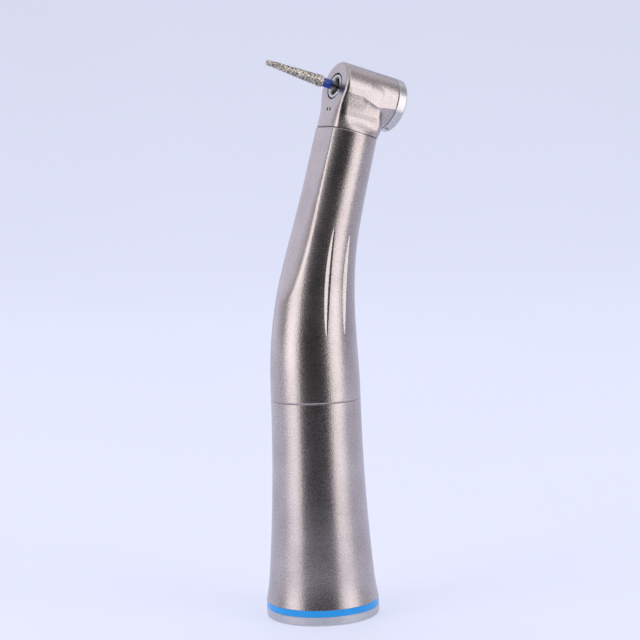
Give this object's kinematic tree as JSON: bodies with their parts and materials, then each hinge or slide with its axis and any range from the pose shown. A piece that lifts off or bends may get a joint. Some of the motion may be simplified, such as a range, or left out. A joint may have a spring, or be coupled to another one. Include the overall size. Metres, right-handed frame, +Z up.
{
  "type": "contra-angle dental handpiece",
  "caption": "Contra-angle dental handpiece with bent sleeve, geared drive train, push-button head and diamond bur, standing on its rear collar.",
  "frame": {"origin": "centre of the rear end face on the rear sleeve axis", "axes": "+Z up the rear sleeve axis, +X the way the neck leans, bur points towards -X and up"},
  "size_m": [0.029, 0.02, 0.098],
  "materials": {
    "satin_shell": "bead-blasted satin",
    "polished_collar": "polished",
    "polished_cap": "polished",
    "blue_ring": "gloss",
    "inner_steel": "turned",
    "spring_steel": "drawn",
    "gear_steel": "ground",
    "shaft_steel": "ground",
    "chuck_steel": "hardened, dark",
    "bearing_steel": "ground",
    "ball_steel": "polished",
    "bur_steel": "ground",
    "blue_band": "gloss",
    "diamond_grit": "nickel-bonded diamond grit",
    "tube_steel": "drawn"
  },
  "bodies": {
    "housing": {"end_collar": "polished_collar", "colour_ring": "blue_ring", "rear_sleeve": "satin_shell", "neck_sleeve": "satin_shell", "head_housing": "satin_shell", "back_cap": "polished_cap", "spine_tube": "inner_steel", "snap_ring": "spring_steel", "index_pin": "inner_steel", "bearing_spacer": "inner_steel", "bearing_nut": "inner_steel", "neck_liner": "inner_steel", "button_spring": "spring_steel", "water_tube": "tube_steel", "air_tube": "tube_steel", "rear_bearing_outer": "bearing_steel", "knee_bearing_outer": "bearing_steel", "neck_bearing_outer": "bearing_steel", "pinion_bearing_outer": "bearing_steel", "chuck_bearing_outer": "bearing_steel", "cap_bearing_outer": "bearing_steel"},
    "rear_rotor": {"rear_shaft": "shaft_steel", "drive_dog": "shaft_steel", "knee_gear_rear": "gear_steel", "rear_bearing_inner": "bearing_steel", "knee_bearing_inner": "bearing_steel"},
    "neck_rotor": {"neck_shaft": "shaft_steel", "knee_gear_front": "gear_steel", "head_pinion": "gear_steel", "neck_bearing_inner": "bearing_steel", "pinion_bearing_inner": "bearing_steel"},
    "spindle": {"chuck_spindle": "shaft_steel", "collet": "chuck_steel", "spindle_gear": "gear_steel", "chuck_bearing_inner": "bearing_steel", "cap_bearing_inner": "bearing_steel"},
    "rear_balls": {"rear_bearing_balls": "ball_steel", "knee_bearing_balls": "ball_steel"},
    "neck_balls": {"neck_bearing_balls": "ball_steel", "pinion_bearing_balls": "ball_steel"},
    "front_balls": {"chuck_bearing_balls": "ball_steel"},
    "back_balls": {"cap_bearing_balls": "ball_steel"},
    "button": {"push_button": "polished_cap", "release_pin": "inner_steel"},
    "bur": {"bur_shank": "bur_steel", "bur_band": "blue_band", "bur_diamond": "diamond_grit"}
  },
  "joints": [
    {"name": "rear_shaft_spin", "type": "hinge", "parent": "housing", "child": "rear_rotor", "pos_m": [0, 0, 0.04], "axis": [0, 0, 1], "continuous": true},
    {"name": "neck_shaft_spin", "type": "hinge", "parent": "housing", "child": "neck_rotor", "pos_m": [0, 0, 0.0575], "axis": [0.2756, 0, 0.9613], "continuous": true},
    {"name": "spindle_spin", "type": "hinge", "parent": "housing", "child": "spindle", "pos_m": [0.00987, 0, 0.09191], "axis": [-0.9483, 0, 0.3173], "continuous": true},
    {"name": "rear_balls_spin", "type": "hinge", "parent": "housing", "child": "rear_balls", "pos_m": [0, 0, 0.04], "axis": [0, 0, 1], "continuous": true},
    {"name": "neck_balls_spin", "type": "hinge", "parent": "housing", "child": "neck_balls", "pos_m": [0, 0, 0.0575], "axis": [0.2756, 0, 0.9613], "continuous": true},
    {"name": "front_balls_spin", "type": "hinge", "parent": "housing", "child": "front_balls", "pos_m": [0.00987, 0, 0.09191], "axis": [-0.9483, 0, 0.3173], "continuous": true},
    {"name": "back_balls_spin", "type": "hinge", "parent": "housing", "child": "back_balls", "pos_m": [0.00987, 0, 0.09191], "axis": [-0.9483, 0, 0.3173], "continuous": true},
    {"name": "button_press", "type": "slide", "parent": "housing", "child": "button", "axis": [-0.9483, 0, 0.3173], "range_m": [0, 0.0008], "stiffness_N_per_m": 900, "springref_m": -0.0006, "deforming": ["button_spring"]},
    {"name": "bur_release", "type": "slide", "parent": "spindle", "child": "bur", "axis": [-0.9483, 0, 0.3173], "range_m": [0, 0.014]}
  ],
  "couplings": [
    {"joint": "neck_shaft_spin", "follows": "rear_shaft_spin", "ratio": 1},
    {"joint": "spindle_spin", "follows": "rear_shaft_spin", "ratio": -1},
    {"joint": "rear_balls_spin", "follows": "rear_shaft_spin", "ratio": 0.36364},
    {"joint": "neck_balls_spin", "follows": "rear_shaft_spin", "ratio": 0.36909},
    {"joint": "front_balls_spin", "follows": "rear_shaft_spin", "ratio": -0.41181},
    {"joint": "back_balls_spin", "follows": "rear_shaft_spin", "ratio": -0.40289}
  ]
}
